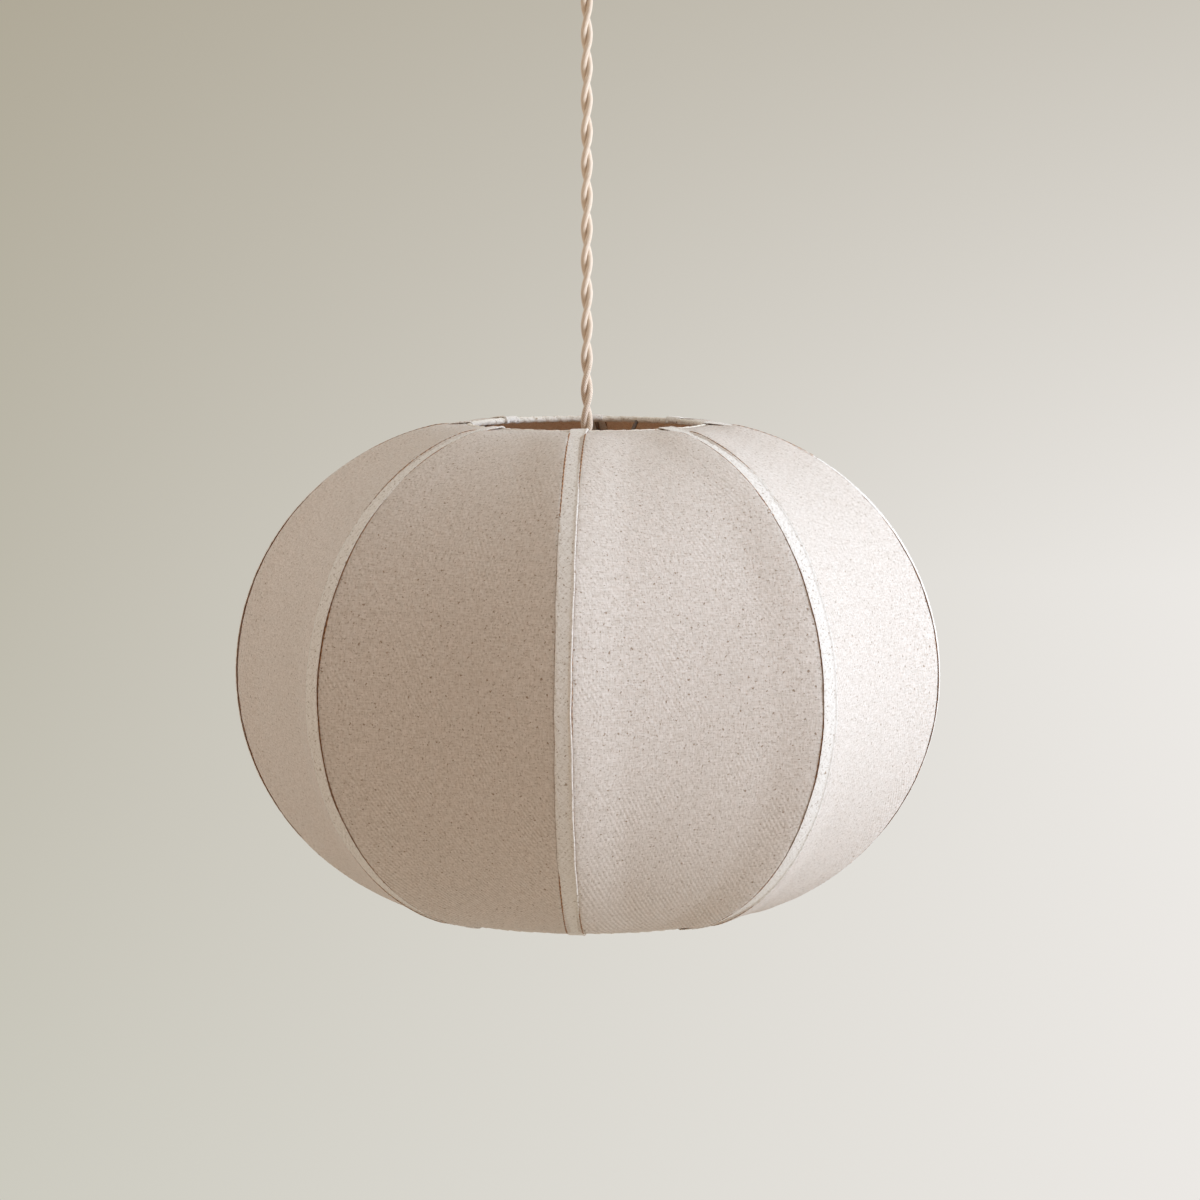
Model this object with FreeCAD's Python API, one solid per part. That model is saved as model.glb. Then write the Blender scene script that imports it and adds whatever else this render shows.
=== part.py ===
"""Pendant lamp with a gored linen lantern shade, hung on a twisted flex from a ceiling rose.

Millimetres. The origin is on the ceiling, on the lamp's axis, and everything hangs below it.
The frame's first rib is at the front (-Y), and ribs and panels count anticlockwise from above.
"""
import FreeCAD
import Part
import math
import os

# ---- ceiling rose ------------------------------------------------------------------------
ROSE_RADIUS = 50.0
ROSE_DEPTH = 28.0
ROSE_WALL = 1.2
BRACKET_HALF_LENGTH = 47.4
BRACKET_WIDTH = 14.0
BRACKET_SHEET = 1.5
BRACKET_FLANGE = 13.0
CEILING_SCREW_SPACING = 60.0
CEILING_SCREW_HOLE_RADIUS = 2.25
SIDE_SCREW_RADIUS = 1.5
SIDE_SCREW_DEPTH = 9.0
SIDE_SCREW_HEAD = 1.8
CUP_CORNER = 6.0
TERMINAL_BLOCK = (30.0, 16.0, 12.0)
TERMINAL_SCREW_RADIUS = 2.0
TERMINAL_POCKET_DEPTH = 5.0
ROSE_GRIP_LENGTH = 16.0
ROSE_GRIP_FLANGE_RADIUS = 10.0
ROSE_GRIP_STEM_RADIUS = 6.0
GRIP_SCREW_SEAT = 8.2           # from the axis to the pinch screw's head
GRIP_SCREW_DEPTH = 7.0          # from the cup's underside down to the pinch screw
GRIP_STEM_HEIGHT = 8.0          # of the stem and the thread above the cup's underside

# ---- flex --------------------------------------------------------------------------------
CORD_RADIUS = 3.85
CORD_NECK_LENGTH = 14.0
CONDUCTOR_RADIUS = 1.0
CONDUCTOR_SPACING = 1.9         # from the axis to each conductor where it leaves the flex
CORD_IN_ROSE = 9.0              # end of the flex above the cup's underside
CORD_IN_HOLDER = 7.0            # end of the flex below the lampholder cap's top
PENDANT_DROP = 286.0            # from the rose's cord grip down to the shade's top ring

# ---- fits --------------------------------------------------------------------------------
GAP = 0.3                       # between pieces that move on each other
THREAD_FIT = 0.05               # shade ring on the lampholder's thread
SNUG = 0.1                      # between pieces that are fixed together

# ---- shade -------------------------------------------------------------------------------
RIB_COUNT = 8
RIB_REACH = 223.0               # from the axis to a rib at its widest place
RIB_UPPER_RADIUS = 160.0        # each rib is two arcs that meet, upright, at that place
RIB_LOWER_RADIUS = 153.0
RIB_WIRE = 1.25
TOP_RING_RADIUS = 75.0
BOTTOM_RING_RADIUS = 95.0
RING_WIRE = 1.5
RING_BINDING = 2.6              # radius of the bound ring
PANEL_INSIDE = 0.45             # the cloth's two faces, measured out from the rib's centre line
PANEL_OUTSIDE = 1.25
PANEL_EDGE = 2.2                # from a rib's plane to the panel's edge
PANEL_PULL = 0.08               # how far the stretched cloth passes inside the straight chord
BINDING_INSIDE = 1.55
BINDING_OUTSIDE = 2.35
BINDING_HALF_WIDTH = 5.5
CLOTH_END = 3.2                 # from a ring's centre line to the ends of panels and strips
ARM_COUNT = 3
ARM_FIRST_AZIMUTH = 67.5

# ---- lampholder and lamp, measured down from the shade's top ring --------------------------
COLLAR_TOP = 9.0
CAP_TOP = 17.0
CAP_SHOULDER = 27.0
CAP_BOTTOM = 37.0
CAP_RADIUS = 20.0
CAP_WALL = 1.6
CAP_FLAT = 9.0                  # radius of the cap's flat top
COLLAR_RADIUS = 7.0
COLLAR_STEM_RADIUS = 5.2
HOLDER_TERMINAL_SPACING = 7.0
HOLDER_SCREW_RADIUS = 1.8
SEAT_DEPTH = 41.0               # underside of the holder's flange, where the shade hangs
SEAT_RADIUS = 23.0
SKIRT_BOTTOM = 71.0
SKIRT_RADIUS = 20.0
SKIRT_BORE = 14.2
THREAD_PITCH = 3.0
THREAD_DEPTH = 0.8
FITTER_RADIUS = 29.0
FITTER_SHEET = 1.5
SHADE_RING_HEIGHT = 12.0
SHADE_RING_FLANGE = 3.0
SHADE_RING_FLUTES = 18
SHADE_RING_WAIST = 25.0
CONTACT_BLOCK_BOTTOM = 48.0
SHELL_BORE = 13.4
SHELL_SHEET = 0.5
LAMP_TOP = 51.4
LAMP_CAP_RADIUS = 13.2
LAMP_CAP_BOTTOM = 78.0
LAMP_CAP_PITCH = 3.6
LAMP_CAP_SHEET = 0.25
LAMP_THREAD_DEPTH = 0.9
LAMP_TIP_RADIUS = 4.6
LAMP_NECK_RADIUS = 12.4
LAMP_BULB_RADIUS = 30.0
LAMP_BULB_DEPTH = 125.0
GLASS = 0.8

ROSE_EXIT_Z = -(ROSE_DEPTH + ROSE_GRIP_LENGTH)
TOP_RING_Z = ROSE_EXIT_Z - PENDANT_DROP
RIB_TOP_ANGLE = math.acos(1 - (RIB_REACH - TOP_RING_RADIUS) / RIB_UPPER_RADIUS)
RIB_BOTTOM_ANGLE = -math.acos(1 - (RIB_REACH - BOTTOM_RING_RADIUS) / RIB_LOWER_RADIUS)
RIB_MID_Z = TOP_RING_Z - RIB_UPPER_RADIUS * math.sin(RIB_TOP_ANGLE)
BOTTOM_RING_Z = RIB_MID_Z + RIB_LOWER_RADIUS * math.sin(RIB_BOTTOM_ANGLE)
GORE_ANGLE = 2 * math.pi / RIB_COUNT

V = FreeCAD.Vector
UP = V(0, 0, 1)


# ---- small helpers -----------------------------------------------------------------------
def tube(outer, inner, low, high):
    """A round tube about Z between two heights, or a rod where inner is 0."""
    body = Part.makeCylinder(outer, high - low, V(0, 0, low))
    if inner > 0:
        body = body.cut(Part.makeCylinder(inner, high - low, V(0, 0, low)))
    return body


def rod(radius, start, end):
    """A straight round rod from one point to another."""
    return Part.makeCylinder(radius, (end - start).Length, start, end - start)


def block(size, centre):
    """A box of the given size about a centre point."""
    corner = V(centre.x - size[0] / 2, centre.y - size[1] / 2, centre.z - size[2] / 2)
    return Part.makeBox(size[0], size[1], size[2], corner)


def turned(profile):
    """A solid of revolution about Z from (radius, z) corners."""
    corners = [V(r, 0, z) for r, z in profile]
    face = Part.Face(Part.makePolygon(corners + corners[:1]))
    return face.revolve(V(0, 0, 0), UP, 360)


def ring(radius, wire, z):
    """A ring of round wire."""
    return Part.makeTorus(radius, wire, V(0, 0, z))


def turned_copies(shape, count, first_azimuth=0.0):
    """The shape repeated around Z, as a list."""
    copies = []
    for index in range(count):
        copy = shape.copy()
        copy.rotate(V(0, 0, 0), UP, first_azimuth + index * 360.0 / count)
        copies.append(copy)
    return copies


def below_ring(depth):
    """The height that lies this far under the shade's top ring."""
    return TOP_RING_Z - depth


# ---- ceiling rose ------------------------------------------------------------------------
def ceiling_bracket():
    """A flat strap on the ceiling with a down-turned, tapped flange at each end."""
    strap = block((2 * BRACKET_HALF_LENGTH, BRACKET_WIDTH, BRACKET_SHEET), V(0, 0, -BRACKET_SHEET / 2))
    for side in (-1, 1):
        x = side * (BRACKET_HALF_LENGTH - BRACKET_SHEET / 2)
        flange = block((BRACKET_SHEET, BRACKET_WIDTH, BRACKET_FLANGE), V(x, 0, -BRACKET_FLANGE / 2))
        hole = V(side * CEILING_SCREW_SPACING / 2, 0, 0)
        drill = rod(CEILING_SCREW_HOLE_RADIUS, hole + UP, hole - UP * 2 * BRACKET_SHEET)
        strap = strap.fuse(flange).cut(drill)
        strap = strap.cut(side_screw_rod(side, SIDE_SCREW_RADIUS + THREAD_FIT, 0))
    return strap.removeSplitter()


def side_screw_rod(side, radius, head):
    """The line of a side screw, from inside the flange out to the rose's wall."""
    inner = V(side * (BRACKET_HALF_LENGTH - 2 * BRACKET_SHEET), 0, -SIDE_SCREW_DEPTH)
    outer = V(side * (ROSE_RADIUS + head), 0, -SIDE_SCREW_DEPTH)
    return rod(radius, inner, outer)


def canopy_cup():
    """The spun cover, open to the ceiling, with a rounded lower edge and a hole for the cord grip."""
    corner = CUP_CORNER
    low = -ROSE_DEPTH
    outside = [V(0, 0, 0), V(ROSE_RADIUS, 0, 0), V(ROSE_RADIUS, 0, low + corner),
               V(ROSE_RADIUS - corner, 0, low), V(0, 0, low)]
    bend = V(ROSE_RADIUS - corner * (1 - math.sqrt(0.5)), 0, low + corner * (1 - math.sqrt(0.5)))
    edges = [Part.LineSegment(outside[0], outside[1]).toShape(),
             Part.LineSegment(outside[1], outside[2]).toShape(),
             Part.Arc(outside[2], bend, outside[3]).toShape(),
             Part.LineSegment(outside[3], outside[4]).toShape(),
             Part.LineSegment(outside[4], outside[0]).toShape()]
    solid = Part.Face(Part.Wire(edges)).revolve(V(0, 0, 0), UP, 360)
    ceiling_side = [face for face in solid.Faces if abs(face.CenterOfMass.z) < 1e-6]
    cup = solid.makeThickness(ceiling_side, -ROSE_WALL, 1e-3)
    cup = cup.cut(tube(ROSE_GRIP_STEM_RADIUS + SNUG, 0, low - 1, low + 2 * ROSE_WALL))
    for side in (-1, 1):
        cup = cup.cut(side_screw_rod(side, SIDE_SCREW_RADIUS + SNUG, 1))
    return cup


def canopy_screws():
    """Two short cheese-head screws that hold the cup to the bracket's flanges."""
    screws = []
    for side in (-1, 1):
        head_start = V(side * (ROSE_RADIUS + SNUG), 0, -SIDE_SCREW_DEPTH)
        head_end = head_start + V(side * SIDE_SCREW_HEAD, 0, 0)
        head = rod(2 * SIDE_SCREW_RADIUS, head_start, head_end)
        slot = block((1.2, 3 * SIDE_SCREW_HEAD, 0.7), head_end)
        screws.append(side_screw_rod(side, SIDE_SCREW_RADIUS, SNUG).fuse(head).cut(slot))
    return Part.makeCompound(screws)


def terminal_points():
    """The four screw places on the terminal block."""
    return [V(x, y, -BRACKET_SHEET - SNUG - TERMINAL_BLOCK[2]) for x in (-7.0, 7.0) for y in (-4.5, 4.5)]


def terminal_block():
    """The moulded connector under the bracket, with a pocket for each screw."""
    centre = V(0, 0, -BRACKET_SHEET - SNUG - TERMINAL_BLOCK[2] / 2)
    body = block(TERMINAL_BLOCK, centre)
    for place in terminal_points():
        body = body.cut(rod(TERMINAL_SCREW_RADIUS + SNUG, place - UP, place + UP * TERMINAL_POCKET_DEPTH))
    return body


def terminal_screws():
    """Slotted clamp screws in the connector's pockets."""
    screws = []
    for place in terminal_points():
        face = place + UP * 1.2
        body = rod(TERMINAL_SCREW_RADIUS, face, place + UP * (TERMINAL_POCKET_DEPTH - SNUG))
        screws.append(body.cut(block((3 * TERMINAL_SCREW_RADIUS, 0.6, 1.0), face)))
    return Part.makeCompound(screws)


def rose_cord_grip():
    """The moulded bush through the cup: stem, flange, tapering nose and a flared mouth."""
    low = ROSE_EXIT_Z
    under_cup = -ROSE_DEPTH
    bore = CORD_RADIUS + SNUG
    stem_top = under_cup + GRIP_STEM_HEIGHT
    body = turned([(bore, stem_top), (ROSE_GRIP_STEM_RADIUS, stem_top),
                   (ROSE_GRIP_STEM_RADIUS, under_cup), (ROSE_GRIP_FLANGE_RADIUS, under_cup),
                   (ROSE_GRIP_FLANGE_RADIUS, under_cup - 3), (8.0, under_cup - 4.5),
                   (6.6, low + 1), (6.1, low), (5.2, low), (bore, low + 3)])
    return body.cut(grip_screw_rod(SIDE_SCREW_RADIUS + THREAD_FIT, 2))


def grip_screw_rod(radius, beyond):
    """The line of the pinch screw, from the cord out through the back of the grip."""
    z = -ROSE_DEPTH - GRIP_SCREW_DEPTH
    return rod(radius, V(0, CORD_RADIUS + 2 * SNUG, z), V(0, GRIP_SCREW_SEAT + beyond, z))


def grip_screw():
    """The plastic pinch screw that keeps the flex from sliding."""
    start = V(0, GRIP_SCREW_SEAT, -ROSE_DEPTH - GRIP_SCREW_DEPTH)
    end = start + V(0, 1.6, 0)
    head = rod(1.6 * SIDE_SCREW_RADIUS, start, end)
    return grip_screw_rod(SIDE_SCREW_RADIUS, 0).fuse(head).cut(block((8.0, 1.0, 0.6), end))


def grip_nut():
    """The hexagonal back nut inside the cup."""
    low = -ROSE_DEPTH + ROSE_WALL + SNUG
    corner = ROSE_GRIP_FLANGE_RADIUS
    hexagon = Part.makePolygon([V(corner * math.cos(k * math.pi / 3), corner * math.sin(k * math.pi / 3), low)
                                for k in range(7)])
    nut = Part.Face(hexagon).extrude(UP * 4)
    return nut.cut(tube(ROSE_GRIP_STEM_RADIUS + THREAD_FIT, 0, low - 1, low + 5))


# ---- flex --------------------------------------------------------------------------------
def cord_joints():
    """Heights of the two places where the flex bends under the rose."""
    upper = ROSE_EXIT_Z - 2
    lower = upper - CORD_NECK_LENGTH - CORD_RADIUS - GAP
    return upper, lower


def cord_inner():
    """The end of the flex inside the rose."""
    upper, _ = cord_joints()
    return tube(CORD_RADIUS, 0, upper + CORD_RADIUS + GAP, -ROSE_DEPTH + CORD_IN_ROSE)


def round_ended_cord(top, bottom):
    """Flex with a ball end about its bending point and a square lower end."""
    ball = Part.makeSphere(CORD_RADIUS, V(0, 0, top))
    return tube(CORD_RADIUS, 0, bottom, top).fuse(ball).removeSplitter()


def cord_neck():
    """The first stretch under the rose, which swings sideways."""
    upper, _ = cord_joints()
    return round_ended_cord(upper, upper - CORD_NECK_LENGTH)


def cord_main():
    """The long straight stretch, pulled tight, into the lampholder's cap."""
    _, lower = cord_joints()
    return round_ended_cord(lower, below_ring(CAP_TOP + CORD_IN_HOLDER))


def conductors(start_z, end_half, end_z):
    """Two bared conductors that spread from the flex to their terminals."""
    pair = [rod(CONDUCTOR_RADIUS, V(side * CONDUCTOR_SPACING, 0, start_z), V(side * end_half, 0, end_z))
            for side in (-1, 1)]
    return Part.makeCompound(pair)


def rose_conductors():
    """Conductors from the flex up to the connector."""
    block_bottom = -BRACKET_SHEET - SNUG - TERMINAL_BLOCK[2]
    return conductors(-ROSE_DEPTH + CORD_IN_ROSE + 6 * SNUG, 3.6, block_bottom - 4 * SNUG)


def holder_conductors():
    """Conductors from the flex down to the lampholder's terminals."""
    start = below_ring(CAP_TOP + CORD_IN_HOLDER) - GAP - 4 * SNUG
    return conductors(start, HOLDER_TERMINAL_SPACING, below_ring(CAP_BOTTOM - 5))


# ---- lampholder --------------------------------------------------------------------------
def holder_collar():
    """The screwed collar on the cap that takes the flex, fluted for the fingers."""
    bore = CORD_RADIUS + GAP
    top = below_ring(COLLAR_TOP)
    seat = below_ring(CAP_TOP)
    chamfer = 1.4
    body = turned([(bore, top), (COLLAR_RADIUS - chamfer, top), (COLLAR_RADIUS, top - chamfer),
                   (COLLAR_RADIUS, seat + SNUG), (COLLAR_STEM_RADIUS, seat + SNUG),
                   (COLLAR_STEM_RADIUS, seat - 4), (bore, seat - 4)])
    flute_place = COLLAR_RADIUS + 0.3
    for flute in turned_copies(rod(0.8, V(flute_place, 0, seat + 1), V(flute_place, 0, top)), 12):
        body = body.cut(flute)
    return body


def holder_cap():
    """The domed cap: flat top, rounded shoulder and straight wall."""
    def outline(inset):
        top = below_ring(CAP_TOP) - inset
        shoulder = below_ring(CAP_SHOULDER)
        bottom = below_ring(CAP_BOTTOM)
        wide = CAP_RADIUS - inset
        narrow = CAP_FLAT
        bend = V(narrow + (wide - narrow) * math.sin(math.pi / 4), 0,
                 shoulder + (top - shoulder) * math.cos(math.pi / 4))
        edges = [Part.LineSegment(V(0, 0, top), V(narrow, 0, top)).toShape(),
                 Part.Arc(V(narrow, 0, top), bend, V(wide, 0, shoulder)).toShape(),
                 Part.LineSegment(V(wide, 0, shoulder), V(wide, 0, bottom)).toShape(),
                 Part.LineSegment(V(wide, 0, bottom), V(0, 0, bottom)).toShape(),
                 Part.LineSegment(V(0, 0, bottom), V(0, 0, top)).toShape()]
        return Part.Face(Part.Wire(edges)).revolve(V(0, 0, 0), UP, 360)
    hole = tube(COLLAR_STEM_RADIUS + SNUG, 0, below_ring(CAP_TOP + 5), below_ring(CAP_TOP - 1))
    return outline(0).cut(outline(CAP_WALL)).cut(hole)


def holder_body():
    """The lower shell: a seat flange and a threaded skirt, bored for the contacts."""
    seat = below_ring(SEAT_DEPTH)
    top = below_ring(CAP_BOTTOM) - SNUG
    low = below_ring(SKIRT_BOTTOM)
    crest = SKIRT_RADIUS
    root = SKIRT_RADIUS - THREAD_DEPTH
    outline = [(SKIRT_BORE, top), (SEAT_RADIUS, top), (SEAT_RADIUS, seat), (root, seat)]
    z = seat - 2.0
    while z - THREAD_PITCH > low + 1.0:
        outline += [(root, z), (crest, z - 0.25 * THREAD_PITCH), (crest, z - 0.45 * THREAD_PITCH),
                    (root, z - 0.7 * THREAD_PITCH)]
        z -= THREAD_PITCH
    outline += [(root, low), (SKIRT_BORE, low)]
    return turned(outline)


def contact_block():
    """The ceramic disc that carries the contacts."""
    body = tube(SKIRT_BORE - SNUG, 0, below_ring(CONTACT_BLOCK_BOTTOM), below_ring(CAP_BOTTOM + 1))
    for place in holder_terminals():
        body = body.cut(rod(HOLDER_SCREW_RADIUS + SNUG, place, place - UP * 6))
    return body


def holder_terminals():
    """The two terminal screws' places on top of the contact block."""
    return [V(side * HOLDER_TERMINAL_SPACING, 0, below_ring(CAP_BOTTOM + 1)) for side in (-1, 1)]


def holder_terminal_screws():
    """The terminal screws, standing out of the block."""
    screws = []
    for place in holder_terminals():
        top = place + UP * 2.4
        shank = rod(HOLDER_SCREW_RADIUS, place - UP * 5.9, place + UP * 2 * SNUG)
        head = rod(1.6 * HOLDER_SCREW_RADIUS, place + UP * SNUG, top)
        screws.append(shank.fuse(head).cut(block((7.0, 0.7, 1.4), top)))
    return Part.makeCompound(screws)


def screw_shell():
    """The thin brass shell that the lamp's cap screws into."""
    top = below_ring(CONTACT_BLOCK_BOTTOM) - SNUG
    return tube(SHELL_BORE + SHELL_SHEET, SHELL_BORE, below_ring(SKIRT_BOTTOM - 1), top)


def centre_contact():
    """The springy brass tongue above the lamp's tip."""
    top = below_ring(CONTACT_BLOCK_BOTTOM) - SNUG
    fixed = block((8.0, 5.0, 0.5), V(-4.0, 0, top - 0.25))
    riser = block((0.6, 5.0, 2.6), V(-0.3, 0, top - 1.3))
    tongue = block((5.0, 5.0, 0.5), V(2.0, 0, top - 2.6))
    return fixed.fuse(riser).fuse(tongue).removeSplitter()


# ---- shade frame -------------------------------------------------------------------------
def top_ring():
    return ring(TOP_RING_RADIUS, RING_WIRE, TOP_RING_Z)


def bottom_ring():
    return ring(BOTTOM_RING_RADIUS, RING_WIRE, BOTTOM_RING_Z)


def rib_point(angle, offset=0.0):
    """Radius and height of a rib, at a place given by the arc's angle: 0 is the widest place, and
    positive angles lie above it. offset moves the point outwards from the rib's centre line."""
    arc = RIB_UPPER_RADIUS if angle >= 0 else RIB_LOWER_RADIUS
    radius = RIB_REACH - arc + (arc + offset) * math.cos(angle)
    return radius, RIB_MID_Z + (arc + offset) * math.sin(angle)


def carried_along_rib(section, short=0.0):
    """A flat section at a rib's widest place, carried both ways along the rib's two arcs. short is
    how far it stops before the rings."""
    halves = []
    for arc, end in ((RIB_UPPER_RADIUS, RIB_TOP_ANGLE), (RIB_LOWER_RADIUS, RIB_BOTTOM_ANGLE)):
        turn = math.degrees(math.copysign(abs(end) - short / arc, end))
        halves.append(section.revolve(V(RIB_REACH - arc, 0, RIB_MID_Z), V(0, -1, 0), turn))
    return halves[0].fuse(halves[1])


def rib_arc(wire_radius):
    """One rib of round wire in the XZ plane, running from ring to ring."""
    circle = Part.makeCircle(wire_radius, V(RIB_REACH, 0, RIB_MID_Z), UP)
    return carried_along_rib(Part.Face(Part.Wire(circle)))


def ribs():
    """The ribs, each ending on the two rings that it is welded to."""
    rib = rib_arc(RIB_WIRE).cut(top_ring()).cut(bottom_ring())
    return turned_copies(rib, RIB_COUNT, -90.0)


def fitter_ring():
    """The flat ring that sits under the lampholder's flange."""
    high = below_ring(SEAT_DEPTH) - GAP
    return tube(FITTER_RADIUS, SKIRT_RADIUS + 2 * GAP, high - FITTER_SHEET, high)


def arm_wire(wire_radius):
    """One spider arm from the fitter ring up to the top ring, in the XZ plane."""
    low = V(FITTER_RADIUS - 1.0, 0, below_ring(SEAT_DEPTH) - GAP - FITTER_SHEET / 2)
    return rod(wire_radius, low, V(TOP_RING_RADIUS, 0, TOP_RING_Z))


def spider_arms():
    """The arms, each ending on the two rings that it is welded to."""
    arm = arm_wire(RIB_WIRE).cut(top_ring()).cut(fitter_ring())
    longest = max(arm.Solids, key=lambda solid: solid.Volume)
    return turned_copies(longest, ARM_COUNT, ARM_FIRST_AZIMUTH)


# ---- shade covering ----------------------------------------------------------------------
def cloth_point(angle, azimuth, offset):
    """A point of the covering, seen from one rib.

    angle is the place along the rib's arc, azimuth is measured from the rib and offset is the distance
    outside the rib's centre line. Near the rings the cloth follows their circle. Between them it is
    pulled in towards, and a little past, the straight chord from rib to rib.
    """
    run = (RIB_TOP_ANGLE - angle) / (RIB_TOP_ANGLE - RIB_BOTTOM_ANGLE)
    half = GORE_ANGLE / 2
    chord = math.cos(half) / math.cos(half - abs(azimuth))
    slack = 1 - abs(2 * run - 1) ** 4
    rib_radius, height = rib_point(angle, offset)
    radius = rib_radius * (1 - (1 + PANEL_PULL) * (1 - chord) * slack)
    return V(radius * math.cos(azimuth), radius * math.sin(azimuth), height)


def edge_azimuth(angle, distance):
    """The azimuth at which the cloth lies this far from the first rib's plane."""
    return math.asin(distance / rib_point(angle)[0])


def panels():
    """One stretched linen gore between each rib and the next.

    The sheet is two spline faces, its inside and outside, joined by ruled faces along their edges.
    The splines pass through lines that run from ring to ring, evenly spread across the gore.
    """
    lines = 5
    steps = 16
    first = RIB_TOP_ANGLE - CLOTH_END / RIB_UPPER_RADIUS
    last = RIB_BOTTOM_ANGLE + CLOTH_END / RIB_LOWER_RADIUS
    angles = [first + (last - first) * step / steps for step in range(steps + 1)]

    def azimuth(angle, share):
        return edge_azimuth(angle, PANEL_EDGE) * (1 - 2 * share) + GORE_ANGLE * share
    skins = []
    for offset in (PANEL_OUTSIDE, PANEL_INSIDE):
        skin = Part.BSplineSurface()
        skin.interpolate([[cloth_point(angle, azimuth(angle, line / (lines - 1)), offset) for angle in angles]
                          for line in range(lines)])
        skins.append(skin)
    faces = [skin.toShape() for skin in skins]
    u_low, u_high, v_low, v_high = skins[0].bounds()
    for u in (u_low, u_high):
        faces.append(Part.makeRuledSurface(*[skin.uIso(u).toShape() for skin in skins]))
    for v in (v_low, v_high):
        faces.append(Part.makeRuledSurface(*[skin.vIso(v).toShape() for skin in skins]))
    shell = Part.makeShell(faces)
    shell.sewShape(1e-3)
    return turned_copies(Part.Solid(shell), RIB_COUNT, -90.0)


def rib_bindings():
    """A flat, glue-stiffened linen strip over each rib and both panels' edges."""
    corners = [V(RIB_REACH + lift, side * BINDING_HALF_WIDTH, RIB_MID_Z)
               for lift, side in ((BINDING_INSIDE, -1), (BINDING_INSIDE, 1), (BINDING_OUTSIDE, 1),
                                  (BINDING_OUTSIDE, -1))]
    strip = carried_along_rib(Part.Face(Part.makePolygon(corners + corners[:1])), CLOTH_END)
    return turned_copies(strip, RIB_COUNT, -90.0)


def ring_binding(radius, z, crossing):
    """Linen tape wound round a ring, notched where wires join the ring."""
    tape = ring(radius, RING_BINDING, z).cut(ring(radius, RING_WIRE + THREAD_FIT, z))
    for wire in crossing:
        tape = tape.cut(wire)
    return tape


def crossing_wires(with_arms):
    """The wires that pass through a ring's tape, a little thicker than they are."""
    wires = turned_copies(rib_arc(RIB_WIRE + SNUG), RIB_COUNT, -90.0)
    if with_arms:
        wires += turned_copies(arm_wire(RIB_WIRE + SNUG), ARM_COUNT, ARM_FIRST_AZIMUTH)
    return wires


# ---- shade ring and lamp -----------------------------------------------------------------
def shade_ring():
    """The fluted ring that screws up the skirt and clamps the shade's fitter ring."""
    high = below_ring(SEAT_DEPTH) - FITTER_SHEET - 2 * GAP
    low = high - SHADE_RING_HEIGHT
    bore = SKIRT_RADIUS + THREAD_FIT
    flange_low = high - SHADE_RING_FLANGE
    body = turned([(bore, high), (FITTER_RADIUS, high), (FITTER_RADIUS, flange_low),
                   (SHADE_RING_WAIST, flange_low - 1), (SHADE_RING_WAIST - 0.6, low), (bore, low)])
    flute_place = FITTER_RADIUS + 0.6
    flute = rod(1.4, V(flute_place, 0, low - 1), V(flute_place, 0, high + 1))
    for cutter in turned_copies(flute, SHADE_RING_FLUTES):
        body = body.cut(cutter)
    return body


def bulb_outline(inset):
    """The lamp's glass as a solid: neck, flare and globe, drawn in by an inset."""
    centre = below_ring(LAMP_BULB_DEPTH)
    globe = LAMP_BULB_RADIUS - inset
    neck = LAMP_NECK_RADIUS - inset
    neck_top = below_ring(LAMP_CAP_BOTTOM - 4)
    neck_low = below_ring(LAMP_CAP_BOTTOM + 2)
    shoulder = math.radians(40.0)
    meet = V(globe * math.cos(shoulder), 0, centre + globe * math.sin(shoulder))
    flare = V(neck + 3.1, 0, neck_low - 14.0)
    side = V(globe * math.cos(math.radians(-25.0)), 0, centre + globe * math.sin(math.radians(-25.0)))
    edges = [Part.LineSegment(V(0, 0, neck_top), V(neck, 0, neck_top)).toShape(),
             Part.LineSegment(V(neck, 0, neck_top), V(neck, 0, neck_low)).toShape(),
             Part.Arc(V(neck, 0, neck_low), flare, meet).toShape(),
             Part.Arc(meet, side, V(0, 0, centre - globe)).toShape(),
             Part.LineSegment(V(0, 0, centre - globe), V(0, 0, neck_top)).toShape()]
    return Part.Face(Part.Wire(edges)).revolve(V(0, 0, 0), UP, 360)


def bulb_envelope():
    """The lamp's thin glass, open at the top of its neck."""
    neck_top = below_ring(LAMP_CAP_BOTTOM - 4)
    mouth = tube(LAMP_NECK_RADIUS - GLASS, 0, neck_top - 1, neck_top + 1)
    return bulb_outline(0).cut(bulb_outline(GLASS)).cut(mouth)


def bulb_cap():
    """The lamp's thin metal cap with its rolled thread."""
    low = below_ring(LAMP_CAP_BOTTOM)
    high = below_ring(LAMP_TOP + 5)
    turns = int((high - low) / LAMP_CAP_PITCH)
    thread_root = LAMP_CAP_RADIUS - LAMP_THREAD_DEPTH
    outer = []
    for turn in range(turns):
        z = low + turn * LAMP_CAP_PITCH
        outer += [(LAMP_CAP_RADIUS - 0.1 if turn else LAMP_CAP_RADIUS, z), (LAMP_CAP_RADIUS, z + 1.0),
                  (thread_root, z + 0.5 * LAMP_CAP_PITCH + 0.8)]
    outer.append((thread_root, high))
    bore = thread_root - LAMP_CAP_SHEET
    neck_bore = LAMP_NECK_RADIUS + THREAD_FIT
    inner = [(bore - 0.4, high), (bore - 0.4, low + 4.2), (neck_bore, low + 4.2), (neck_bore, low)]
    return turned(outer + inner)


def bulb_insulator():
    """The dark glass cone between the cap and its tip contact."""
    high = below_ring(LAMP_TOP + 1)
    low = below_ring(LAMP_TOP + 5) + SNUG / 2
    return turned([(0, high), (LAMP_TIP_RADIUS + 0.9, high), (LAMP_CAP_RADIUS - 1.6, low), (0, low)])


def bulb_contact():
    """The tip contact."""
    return tube(LAMP_TIP_RADIUS, 0, below_ring(LAMP_TOP + 1) + SNUG / 2, below_ring(LAMP_TOP))


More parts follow.
